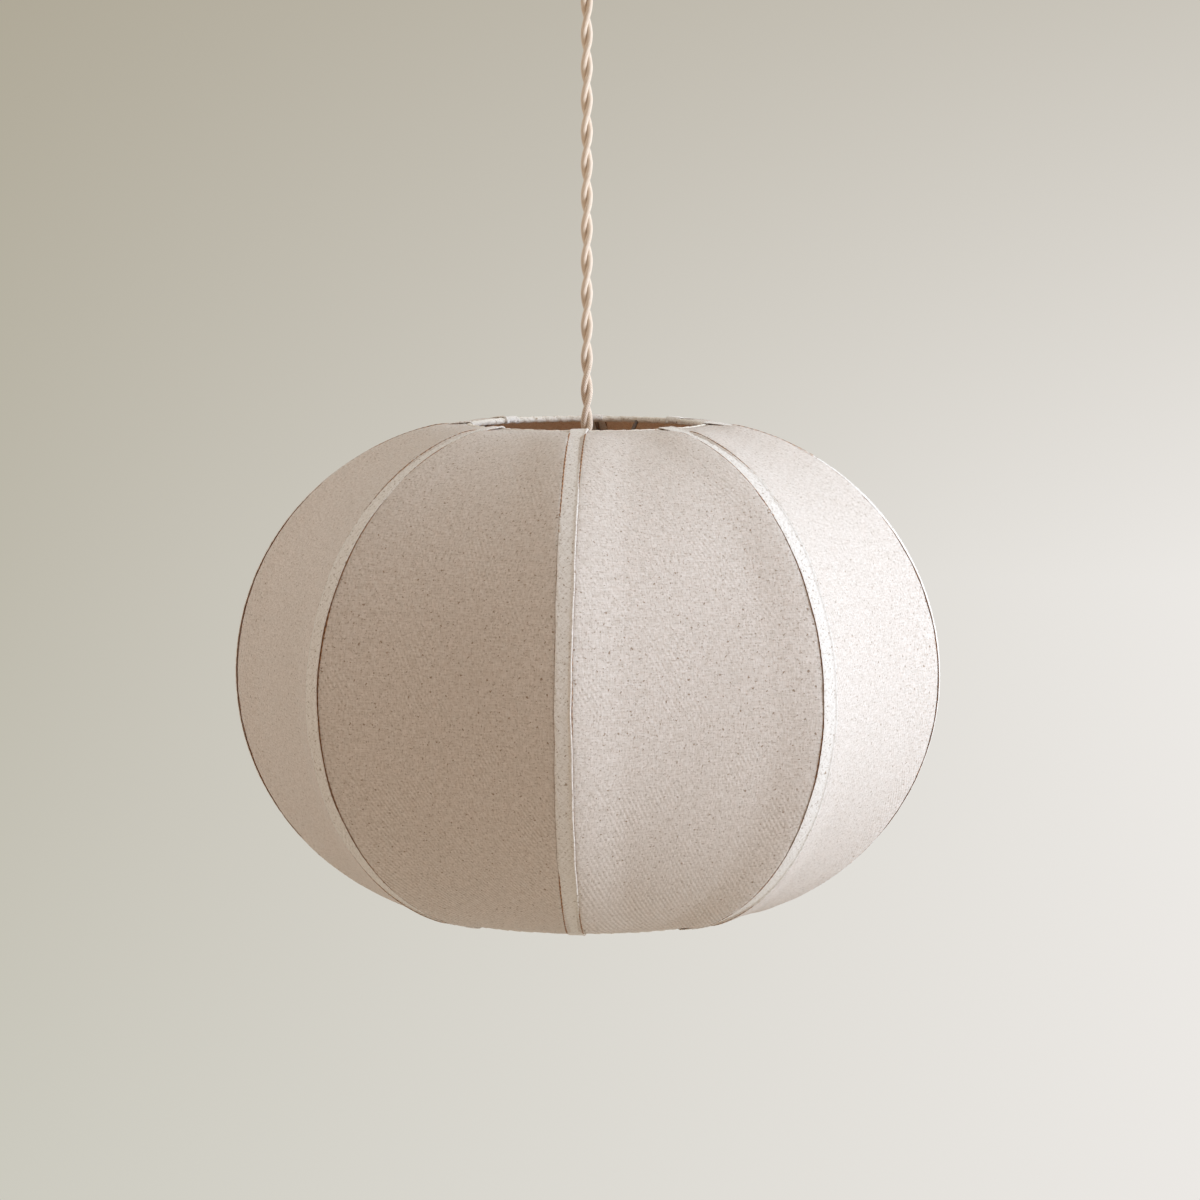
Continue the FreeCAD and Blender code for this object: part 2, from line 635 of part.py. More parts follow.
# ---- all pieces --------------------------------------------------------------------------
def numbered(name, shapes):
    """Names for repeated pieces, counted from 1."""
    return {f"{name}_{index}": shape for index, shape in enumerate(shapes, 1)}


def pieces():
    """Every node of the lamp by name."""
    nodes = {
        "ceiling_bracket": ceiling_bracket(),
        "canopy_cup": canopy_cup(),
        "canopy_screws": canopy_screws(),
        "terminal_block": terminal_block(),
        "terminal_screws": terminal_screws(),
        "rose_cord_grip": rose_cord_grip(),
        "grip_screw": grip_screw(),
        "grip_nut": grip_nut(),
        "rose_conductors": rose_conductors(),
        "cord_inner": cord_inner(),
        "cord_neck": cord_neck(),
        "cord_main": cord_main(),
        "holder_collar": holder_collar(),
        "holder_cap": holder_cap(),
        "holder_body": holder_body(),
        "contact_block": contact_block(),
        "holder_terminal_screws": holder_terminal_screws(),
        "holder_conductors": holder_conductors(),
        "screw_shell": screw_shell(),
        "centre_contact": centre_contact(),
        "top_ring": top_ring(),
        "bottom_ring": bottom_ring(),
        "fitter_ring": fitter_ring(),
        "top_ring_binding": ring_binding(TOP_RING_RADIUS, TOP_RING_Z, crossing_wires(True)),
        "bottom_ring_binding": ring_binding(BOTTOM_RING_RADIUS, BOTTOM_RING_Z, crossing_wires(False)),
        "shade_ring": shade_ring(),
        "bulb_envelope": bulb_envelope(),
        "bulb_cap": bulb_cap(),
        "bulb_insulator": bulb_insulator(),
        "bulb_contact": bulb_contact(),
    }
    nodes.update(numbered("rib", ribs()))
    nodes.update(numbered("spider_arm", spider_arms()))
    nodes.update(numbered("panel", panels()))
    nodes.update(numbered("rib_binding", rib_bindings()))
    return nodes


def main():
    os.makedirs("parts", exist_ok=True)
    for name, shape in pieces().items():
        if not shape.isValid():
            raise ValueError(f"{name} isn't a valid shape")
        shape.exportStep(f"parts/{name}.step")
        print(f"{name}: {len(shape.Solids)} solid(s), {shape.Volume:.0f} cubic mm")
    print(f"top ring {TOP_RING_Z:.1f}, widest {RIB_MID_Z:.1f}, bottom ring {BOTTOM_RING_Z:.1f}")
    print("the flex runs straight, so it has no bends")


main()
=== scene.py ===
# %% [markdown]
# # A linen lantern pendant
# This lesson dresses a finished, measured pendant lamp. The frame holds every hard part at its
# real size: a ceiling rose, a lampholder, a lamp and a shade frame of bent wire. Blender adds
# what a workshop adds last: a twisted textile flex, eight linen gores stretched between the ribs,
# the strips that cover the ribs, wound tape on the rings, and the finish of every surface.

# %% Load the frame
import math

import bmesh
import bpy
import numpy as np
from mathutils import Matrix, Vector


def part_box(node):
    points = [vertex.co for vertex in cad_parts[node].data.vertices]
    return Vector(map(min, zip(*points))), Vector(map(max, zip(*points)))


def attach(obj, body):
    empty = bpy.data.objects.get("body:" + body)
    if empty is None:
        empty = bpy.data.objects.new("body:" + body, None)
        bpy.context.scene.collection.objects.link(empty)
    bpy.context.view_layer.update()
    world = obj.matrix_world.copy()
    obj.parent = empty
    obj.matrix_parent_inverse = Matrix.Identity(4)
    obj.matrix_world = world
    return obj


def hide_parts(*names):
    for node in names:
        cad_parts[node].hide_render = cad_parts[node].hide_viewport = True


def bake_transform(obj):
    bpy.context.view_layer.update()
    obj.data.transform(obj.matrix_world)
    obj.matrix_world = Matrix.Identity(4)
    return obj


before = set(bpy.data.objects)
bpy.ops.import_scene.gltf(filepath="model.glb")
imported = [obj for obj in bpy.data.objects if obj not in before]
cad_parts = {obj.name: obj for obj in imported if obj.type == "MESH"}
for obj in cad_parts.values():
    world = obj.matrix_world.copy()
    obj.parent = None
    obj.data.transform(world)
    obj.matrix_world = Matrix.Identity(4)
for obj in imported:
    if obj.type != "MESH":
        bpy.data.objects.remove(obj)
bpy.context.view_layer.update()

MM = 0.001


# %% [markdown]
# ## Sizes that everything else uses
# The shade's skeleton is simple: two round rings and eight ribs. Each rib is two circular arcs that
# meet, upright, at the widest place, and the lower one is a little tighter. The rings' boxes give
# their radii and heights, and the front rib's box gives the widest radius. The two arcs' radii are
# the only other numbers that the whole shade's shape comes from, so they are named once, here.

# %% Read the frame and work out the ribs
def ring_size(name):
    """Radius of the ring's centre line and its height, from the box of a ring of round wire."""
    low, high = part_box(name)
    wire = (high.z - low.z) / 2
    return (high.x - low.x) / 2 - wire, (high.z + low.z) / 2


TOP_RADIUS, TOP_Z = ring_size("top_ring")
BOTTOM_RADIUS, BOTTOM_Z = ring_size("bottom_ring")
RIB_WIRE = 1.25 * MM  # radius of the bent wire
RIB_REACH = -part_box("rib_1")[0].y - RIB_WIRE
UPPER_ARC, LOWER_ARC = 160 * MM, 153 * MM
RIBS = 8
GORE_ANGLE = 2 * math.pi / RIBS
FIRST_RIB = -math.pi / 2
TOP_ANGLE = math.acos(1 - (RIB_REACH - TOP_RADIUS) / UPPER_ARC)
BOTTOM_ANGLE = -math.acos(1 - (RIB_REACH - BOTTOM_RADIUS) / LOWER_ARC)
MID_Z = TOP_Z - UPPER_ARC * math.sin(TOP_ANGLE)
RIB_LENGTH = UPPER_ARC * TOP_ANGLE - LOWER_ARC * BOTTOM_ANGLE


def rib_angle(length):
    """The arc's angle at a length along the rib from the top ring: 0 at the widest place, positive
    above it. Angle is what is left of the upper arc, over the radius of the arc it lies on."""
    left = UPPER_ARC * TOP_ANGLE - length
    return left / np.where(left >= 0, UPPER_ARC, LOWER_ARC)


def rib_point(angle, offset=0.0):
    """Radius and height of a point that stands off the rib's centre line by offset, outwards.

    radius = reach - arc + (arc + offset) cos angle, and height = middle + (arc + offset) sin angle.
    """
    arc = np.where(angle >= 0, UPPER_ARC, LOWER_ARC)
    return RIB_REACH - arc + (arc + offset) * np.cos(angle), MID_Z + (arc + offset) * np.sin(angle)


print(f"rings {TOP_RADIUS:.3f} m at {TOP_Z:.3f} and {BOTTOM_RADIUS:.3f} m at {BOTTOM_Z:.3f}")
print(f"each rib {RIB_LENGTH:.3f} m long, {RIB_REACH:.3f} m from the axis at its widest")


# %% [markdown]
# ## The camera
# A long lens far from the lamp keeps the shade's rings nearly flat, as they look when a lamp
# hangs a little below eye level on the far side of a room. The camera stands slightly to the
# right of the front rib and slightly above the top ring. It is made before the flex.

# %% Place the camera
def stand(name, data, target, azimuth, elevation, distance):
    """A camera or a lamp on a sphere round a target, looking at it. Angles are in degrees, and
    azimuth is measured to the right of the front."""
    holder = bpy.data.objects.new(name, data)
    bpy.context.collection.objects.link(holder)
    turn, lift = math.radians(azimuth), math.radians(elevation)
    back = Vector((math.sin(turn) * math.cos(lift), -math.cos(turn) * math.cos(lift),
                   math.sin(lift)))
    holder.location = target + back * distance
    holder.rotation_mode = "QUATERNION"
    holder.rotation_quaternion = back.to_track_quat("Z", "Y")
    return holder


VIEW_TARGET = Vector((0.0084, 0, TOP_Z - 0.1115))
VIEW_AZIMUTH, VIEW_ELEVATION, VIEW_DISTANCE = 3.5, 5.4, 3.5
VIEW_HEIGHT = 0.7677
FARTHEST_SEEN = 50
camera = stand("camera", bpy.data.cameras.new("camera"), VIEW_TARGET, VIEW_AZIMUTH,
               VIEW_ELEVATION, VIEW_DISTANCE)
camera.data.lens = camera.data.sensor_width * VIEW_DISTANCE / VIEW_HEIGHT
camera.data.clip_end = FARTHEST_SEEN
bpy.context.scene.camera = camera
print(f"lens {camera.data.lens:.0f} mm, {VIEW_HEIGHT:.2f} m seen at the lamp")


# %% [markdown]
# ## Helpers: colours, nodes and meshes
# A colour is written as the hex value that a paint chart would give, and one function turns it into
# the linear numbers that a renderer adds up. One function adds any shader node with its settings
# and its links, and one tints a colour where a pattern is strong. One function turns a grid of
# points, worked out by numpy, into a mesh of quads with a UV map, so no piece needs a loop over its
# vertices.

# %% Colour and node helpers
def linear(code):
    """sRGB hex to linear red, green, blue and 1: the standard curve, straight near black."""
    levels = np.array([int(code[i:i + 2], 16) for i in (1, 3, 5)]) / 255
    curved = np.where(levels <= 0.04045, levels / 12.92, ((levels + 0.055) / 1.055) ** 2.4)
    return (*curved.tolist(), 1.0)


def add(tree, kind, inputs=None, **settings):
    """Add a node. settings are its properties, and inputs gives each socket a value, another node's
    output, or another node, which stands for its first output."""
    new = tree.nodes.new(kind)
    for key, value in settings.items():
        setattr(new, key, value)
    for key, value in (inputs or {}).items():
        if isinstance(value, bpy.types.Node):
            value = value.outputs[0]
        if isinstance(value, bpy.types.NodeSocket):
            tree.links.new(value, new.inputs[key])
        else:
            new.inputs[key].default_value = value
    return new


def tinted(tree, value, low, high, base, tint, most=1.0):
    """A colour that goes from base towards tint as a value goes from low to high: all the way, or
    by the share called most. Each colour is a hex value or another node's output."""
    share = add(tree, "ShaderNodeMapRange", {0: value, 1: low, 2: high, 4: most})
    base, tint = (linear(colour) if isinstance(colour, str) else colour for colour in (base, tint))
    return add(tree, "ShaderNodeMix", {0: share, 6: base, 7: tint}, data_type="RGBA").outputs[2]


def start_material(name):
    """An empty node material, its Principled shader and its output node."""
    material = bpy.data.materials.new(name)
    material.use_nodes = True
    tree = material.node_tree
    tree.nodes.clear()
    shader = add(tree, "ShaderNodeBsdfPrincipled")
    output = add(tree, "ShaderNodeOutputMaterial", {"Surface": shader})
    return material, tree, shader, output


# %% Mesh helpers
def grid_mesh(name, points, uv, around=False, along=False):
    """A quad mesh from points of shape (rows, columns, 3) and uv of shape (rows, columns, 2).

    around joins the last column to the first and along joins the last row to the first. uv has one
    more row or column than points where it is joined, so that the map has no folded strip.
    """
    rows, columns = points.shape[:2]
    row = np.arange(rows if along else rows - 1)[:, None]
    column = np.arange(columns if around else columns - 1)[None, :]
    next_row, next_column = (row + 1) % rows, (column + 1) % columns
    quads = np.stack([row * columns + column, row * columns + next_column,
                      next_row * columns + next_column, next_row * columns + column], axis=-1)
    corners = np.stack([uv[row, column], uv[row, column + 1],
                        uv[row + 1, column + 1], uv[row + 1, column]], axis=-2)
    return mesh_from(name, points.reshape(-1, 3), quads.reshape(-1, 4), corners.reshape(-1, 2))


def mesh_from(name, points, faces, corner_uv):
    """A smooth-shaded mesh object from point, face and corner arrays."""
    mesh = bpy.data.meshes.new(name)
    mesh.vertices.add(len(points))
    mesh.vertices.foreach_set("co", points.astype(np.float32).ravel())
    mesh.loops.add(faces.size)
    mesh.loops.foreach_set("vertex_index", faces.astype(np.int32).ravel())
    mesh.polygons.add(len(faces))
    starts = np.arange(0, faces.size, faces.shape[1], dtype=np.int32)
    mesh.polygons.foreach_set("loop_start", starts)
    layer = mesh.uv_layers.new(name="UVMap")
    layer.data.foreach_set("uv", corner_uv.astype(np.float32).ravel())
    mesh.update(calc_edges=True)
    mesh.validate()
    mesh.shade_smooth()
    piece = bpy.data.objects.new(name, mesh)
    bpy.context.collection.objects.link(piece)
    return piece


def smooth_step(value, low, high):
    """0 below low, 1 above high, and an S-curve between them."""
    share = np.clip((value - low) / (high - low), 0, 1)
    return share * share * (3 - 2 * share)


def ripple(seed, *axes, waves=9):
    """A soft random relief of about plus or minus 1: a sum of sine waves with seeded directions.

    Each axis is an array in units of one wavelength.
    """
    draw = np.random.default_rng(seed)
    total = 0
    for _ in range(waves):
        turns = draw.uniform(-1.2, 1.2, len(axes))
        phase = sum(turn * axis for turn, axis in zip(turns, axes)) + draw.uniform()
        total = total + np.sin(2 * math.pi * phase)
    return total / math.sqrt(waves)


# %% [markdown]
# ## The flex
# The flex is two insulated wires, each in its own braided sleeve, twisted round each other and
# pulled straight by the lamp's weight. It is made as a rope maker sees it: a straight route, and
# two strands that wind round it. The route is a smooth spline through a few listed points, and
# the strands follow the points read back from it. The lamp swings at two places under the rose.

# %% The route
FLEX_DIAMETER = 7.7 * MM
STRAND_RADIUS = FLEX_DIAMETER / 4
TWIST_PITCH = 41 * MM
NEAR_END = 40 * MM
neck_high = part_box("cord_neck")[1]
main_low, main_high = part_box("cord_main")
FLEX_TOP_Z = neck_high.z - 0.6 * MM
FLEX_ROUTE = [(0, 0, FLEX_TOP_Z), (0, 0, FLEX_TOP_Z - NEAR_END), (0, 0, -0.20),
              (0, 0, main_low.z + NEAR_END), (0, 0, main_low.z)]


def read_spline(route):
    """Points along a smooth NURBS spline through a route, as Blender itself draws it."""
    curve = bpy.data.curves.new("flex_route", "CURVE")
    curve.dimensions = "3D"
    spline = curve.splines.new("NURBS")
    spline.points.add(len(route) - 1)
    for point, place in zip(spline.points, route):
        point.co = (*place, 1)
    spline.order_u = 3
    spline.use_endpoint_u = True
    spline.resolution_u = 64
    holder = bpy.data.objects.new("flex_route", curve)
    mesh = bpy.data.meshes.new_from_object(holder)
    points = np.empty(3 * len(mesh.vertices))
    mesh.vertices.foreach_get("co", points)
    bpy.data.objects.remove(holder)
    bpy.data.curves.remove(curve)
    bpy.data.meshes.remove(mesh)
    return points.reshape(-1, 3)


flex_line = read_spline(FLEX_ROUTE)


# %% The strands
STRAND_ROWS, STRAND_COLUMNS = 420, 22
BRAID_REPEAT = 3.2 * MM
BRAID_BUMPS = 8


def strand(line, phase):
    """One strand's surface about a straight line of points.

    Its centre circles the line at one strand radius and advances one turn for each pitch. Round the
    centre runs a circle whose radius swells with the braid: two crossing helices of small bumps.
    """
    height = line[:, 2]
    fine = np.linspace(height[0], height[-1], STRAND_ROWS)
    turn = 2 * math.pi * fine / TWIST_PITCH + phase
    side = np.stack([np.cos(turn), np.sin(turn), 0 * turn], axis=-1)
    middle = [np.interp(fine, height[::-1], line[::-1, axis]) for axis in (0, 1)]
    centre = np.stack([*middle, fine], axis=-1) + STRAND_RADIUS * side
    angle = np.linspace(0, 2 * math.pi, STRAND_COLUMNS, endpoint=False)[None, :]
    along = fine[:, None]
    climb = 2 * math.pi * along / BRAID_REPEAT
    braid = np.cos(BRAID_BUMPS * angle + climb) * np.cos(BRAID_BUMPS * angle - climb)
    soft = ripple(31, along / (9 * MM), angle / math.pi)
    radius = STRAND_RADIUS * (0.985 + 0.030 * braid + 0.018 * soft)
    tilt = math.atan(2 * math.pi * STRAND_RADIUS / TWIST_PITCH)
    level = np.stack([-np.sin(turn), np.cos(turn), 0 * turn], axis=-1)
    across = math.cos(tilt) * level - math.sin(tilt) * np.array([0, 0, 1])
    ring = (side[:, None, :] * np.cos(angle)[..., None]
            + across[:, None, :] * np.sin(angle)[..., None])
    surface = centre[:, None, :] + radius[..., None] * ring
    tip = np.repeat(centre[:1, None, :], angle.size, axis=1)
    tail = np.repeat(centre[-1:, None, :], angle.size, axis=1)
    surface = np.concatenate([tip, surface, tail])
    rows = np.linspace(0, abs(height[0] - height[-1]), len(surface))
    columns = np.linspace(0, 2 * math.pi * STRAND_RADIUS, angle.size + 1)
    return surface, np.stack(np.meshgrid(columns, rows), axis=-1)


def join(name, parts):
    """One object from several mesh objects."""
    with bpy.context.temp_override(active_object=parts[0], selected_editable_objects=parts):
        bpy.ops.object.join()
    whole = parts[0]
    whole.name = name
    whole.data.name = name
    return whole


def close_poles(piece):
    """Merge the doubled points at poles and seams, and turn all faces outwards."""
    shape = bmesh.new()
    shape.from_mesh(piece.data)
    bmesh.ops.remove_doubles(shape, verts=shape.verts, dist=1e-7)
    bmesh.ops.recalc_face_normals(shape, faces=shape.faces)
    shape.to_mesh(piece.data)
    shape.free()
    piece.data.shade_smooth()
    return piece


strands = [grid_mesh(f"strand_{turn}", *strand(flex_line, turn * math.pi), around=True)
           for turn in (0, 1)]
flex = close_poles(join("twisted_flex", strands))
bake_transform(flex)
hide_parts("cord_neck", "cord_main")
print(f"flex strands: {len(flex.data.polygons)} faces")


# %% [markdown]
# ## The braided sleeve's finish
# The sleeve is unbleached cotton, braided on a machine in sixteen carriers, so its surface is a
# fine diamond pattern. Cotton scatters light from its fuzz, which a soft sheen gives. The colour
# runs from cream on the yarns' crowns to a warm brown in the crossings, which is painted shade in
# the hollows between the yarns, and no two yarns are quite the same.

# %% Cotton braid
YARN_PAIR = 1.6 * MM
YARN_SLANT = 1.35


def cotton_braid():
    """Braid on the strand's own map: the larger of two sine waves, of u + 1.35 v and u - 1.35 v.
    Each wave is a pair of yarns about 0.8 mm wide."""
    material, tree, shader, _ = start_material("unbleached_cotton_braid")
    place = add(tree, "ShaderNodeTexCoord").outputs["UV"]
    u, v, _ = add(tree, "ShaderNodeSeparateXYZ", {0: place}).outputs
    waves = []
    for slant in (YARN_SLANT, -YARN_SLANT):
        slanted = add(tree, "ShaderNodeMath", {0: v, 1: slant, 2: u}, operation="MULTIPLY_ADD")
        phase = add(tree, "ShaderNodeMath", {0: slanted, 1: 2 * math.pi / YARN_PAIR},
                    operation="MULTIPLY")
        waves.append(add(tree, "ShaderNodeMath", {0: phase}, operation="SINE"))
    diamond = add(tree, "ShaderNodeMath", {0: waves[0], 1: waves[1]}, operation="MAXIMUM")
    crown = add(tree, "ShaderNodeMapRange", {0: diamond, 1: -0.6, 2: 0.9})
    fleck = add(tree, "ShaderNodeTexNoise", {"Vector": place, "Scale": 900.0, "Detail": 3.0})
    drift = add(tree, "ShaderNodeTexNoise", {"Vector": place, "Scale": 60.0, "Detail": 2.0})
    # Painted shade: the crossings between the yarns are tinted warm brown, and the crowns cream.
    tone = tinted(tree, crown, 0, 1, "#B3906C", "#F0E2D0")
    tone = tinted(tree, fleck, 0.45, 0.75, tone, "#F6ECDD")
    tone = tinted(tree, drift, 0.35, 0.7, tone, "#CFAA85", 0.20)
    tree.links.new(tone, shader.inputs["Base Color"])
    rough = add(tree, "ShaderNodeMapRange", {0: crown, 3: 0.95, 4: 0.82})
    tree.links.new(rough.outputs[0], shader.inputs["Roughness"])
    shader.inputs["Sheen Weight"].default_value = 0.35
    shader.inputs["Sheen Roughness"].default_value = 0.5
    bump = add(tree, "ShaderNodeBump", {"Strength": 0.6, "Distance": 0.25 * MM, "Height": crown})
    tree.links.new(bump.outputs[0], shader.inputs["Normal"])
    return material


def dress(piece, material):
    """Give a piece or a frame node this material alone."""
    if isinstance(piece, str):
        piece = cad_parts[piece]
    piece.data.materials.clear()
    piece.data.materials.append(material)
    return piece


BRAID = cotton_braid()
dress(flex, BRAID)
dress("cord_inner", BRAID)
print("flex dressed")


# %% [markdown]
# ## The shape of the stretched cloth
# Each gore is cut from flat cloth, sewn and glued to two ribs, and pulled tight. Cloth in tension
# can't bulge: across the gore it runs nearly straight from rib to rib, and along the gore it
# follows the ribs' curve. Only beside the rings, where it is held to a circle, does it become
# round. The formula says just that: a round radius, less the chord's inset, which fades out
# towards the rings.

# %% Cloth surface
PULL = 0.08  # how much flatter than a straight chord the pulled cloth lies
PANEL_OUT = 0.85 * MM


def cloth(angle, azimuth, offset):
    """Points of the cloth beside a rib that stands at azimuth 0, in the shade's own axes.

    radius = the rib's radius times 1 - (1 + pull)(1 - chord) slack, where chord is
    cos(half gore) / cos(half gore - azimuth), and slack falls to 0 at both rings as
    1 - |2 run - 1|^4.
    """
    run = (TOP_ANGLE - angle) / (TOP_ANGLE - BOTTOM_ANGLE)
    half = GORE_ANGLE / 2
    chord = math.cos(half) / np.cos(half - np.abs(azimuth))
    slack = 1 - np.abs(2 * run - 1) ** 4
    rib_radius, height = rib_point(angle, offset)
    radius = rib_radius * (1 - (1 + PULL) * (1 - chord) * slack)
    return np.stack([radius * np.cos(azimuth), radius * np.sin(azimuth), height + 0 * azimuth],
                    axis=-1)


def turned(points, azimuth):
    """Points turned about the lamp's axis."""
    cosine, sine = math.cos(azimuth), math.sin(azimuth)
    turn = np.array([[cosine, sine, 0], [-sine, cosine, 0], [0, 0, 1]])
    return points @ turn


# %% [markdown]
# ## Linen gores
# The gores are eight separate pieces of linen. Each is a grid of points on the cloth formula, with
# three things that a real shade always shows: a faint unevenness of the whole gore, small puckers
# where its edges are glued along the ribs, and a soft shoulder where the turned-in edges of two
# gores lie on one another under the strip. Solidify then gives the cloth its thickness.

# %% Make the gores
CLOTH_THICKNESS = 0.7 * MM
EDGE_INSET = 2.2 * MM
RING_TAPE_RADIUS = 1.9 * MM
STRIP_HALF_WIDTH = 5.6 * MM
SEAM_FADE = 34 * MM
PUCKER_LENGTH, PUCKER_FADE, PUCKER_DEPTH = 17 * MM, 14 * MM, 0.35 * MM
UNEVEN_LENGTH, UNEVEN_FADE, UNEVEN_DEPTH = 150 * MM, 40 * MM, 0.55 * MM
GORE_ROWS, GORE_COLUMNS = 150, 60


def seam_lift(from_rib, from_ring, rib_reach):
    """How far the cloth is lifted beside a rib. Under the strip it stays level, so the lift is the
    distance from the rib times the slope of the chord. Past the strip it fades over 34 mm, or by
    the gore's middle where that is nearer."""
    level = np.minimum(from_rib, STRIP_HALF_WIDTH) * math.tan(GORE_ANGLE / 2)
    end = np.minimum(STRIP_HALF_WIDTH + SEAM_FADE, rib_reach * GORE_ANGLE / 2)
    beside_ring = smooth_step(from_ring, 2 * MM, 25 * MM)
    return level * (1 - smooth_step(from_rib, STRIP_HALF_WIDTH, end)) * beside_ring


def gore_points(index):
    """One gore's outer surface: rows run from the top ring to the bottom ring and columns from rib
    to rib. Puckers fade within 14 mm of each rib, and the slow unevenness fades at every edge."""
    clear = RING_TAPE_RADIUS + 0.1 * MM
    arc = np.linspace(clear, RIB_LENGTH - clear, GORE_ROWS)[:, None]
    angle = rib_angle(arc)
    rib_reach = rib_point(angle)[0]
    edge = np.arcsin(EDGE_INSET / rib_reach)
    share = (1 - np.cos(np.linspace(0, math.pi, GORE_COLUMNS)))[None, :] / 2
    share = 0.5 * share + 0.5 * np.linspace(0, 1, GORE_COLUMNS)[None, :]
    azimuth = edge + (GORE_ANGLE - 2 * edge) * share
    from_rib = rib_reach * np.minimum(azimuth, GORE_ANGLE - azimuth)
    from_ring = np.minimum(arc, RIB_LENGTH - arc)
    pucker = ripple(100 + index, arc / PUCKER_LENGTH, share * 1.5) * np.exp(-from_rib / PUCKER_FADE)
    pucker = pucker * smooth_step(from_rib, 3 * MM, 9 * MM)
    uneven = ripple(200 + index, arc / UNEVEN_LENGTH, share * 1.2)
    uneven = uneven * smooth_step(np.minimum(from_rib, from_ring), 0, UNEVEN_FADE)
    offset = PANEL_OUT + seam_lift(from_rib, from_ring, rib_reach)
    points = cloth(angle, azimuth, offset + PUCKER_DEPTH * pucker + UNEVEN_DEPTH * uneven)
    across = rib_reach * (azimuth - GORE_ANGLE / 2)
    return points, np.stack([across + 0 * arc, 0 * across - arc], axis=-1)


gores = []
for number in range(1, RIBS + 1):
    points, uv = gore_points(number)
    gore = grid_mesh(f"gore_{number}", turned(points, FIRST_RIB + (number - 1) * GORE_ANGLE), uv)
    first = gore.data.polygons[0]
    thickness = gore.modifiers.new("thickness", "SOLIDIFY")
    thickness.thickness = CLOTH_THICKNESS
    thickness.offset = -1 if first.normal.dot(first.center) > 0 else 1
    gores.append(gore)


# %% [markdown]
# ## Linen
# Linen is spun from flax, which never makes an even thread: it has thick slubs, and bits of straw
# that stay in as dark flecks. The cloth is woven with a faint diagonal rib. Its thread spacing,
# about 0.6 mm, is finer than a view of the whole lamp can show, so slubs are drawn 1.1 mm wide and
# the diagonal ribs 2.6 mm apart. The cloth is thin enough for light to come through, warmer than it
# went in, which takes a translucent shader mixed with the surface one.

# %% The linen
SLUB = 1.1 * MM
SLUB_STRETCH = 1 / 5
RIB_SPACING = 2.6 * MM
STRAW = ((1.4 * MM, 0.60, 0.40), (2.2 * MM, 0.665, 0.80))  # size, where its peaks start, weight
# Where the painted shade along a strip's two edges begins and where it is full, from the strip's
# middle.
EDGE_SHADE_FROM, EDGE_SHADE_TO = 0.965 * STRIP_HALF_WIDTH, 0.982 * STRIP_HALF_WIDTH


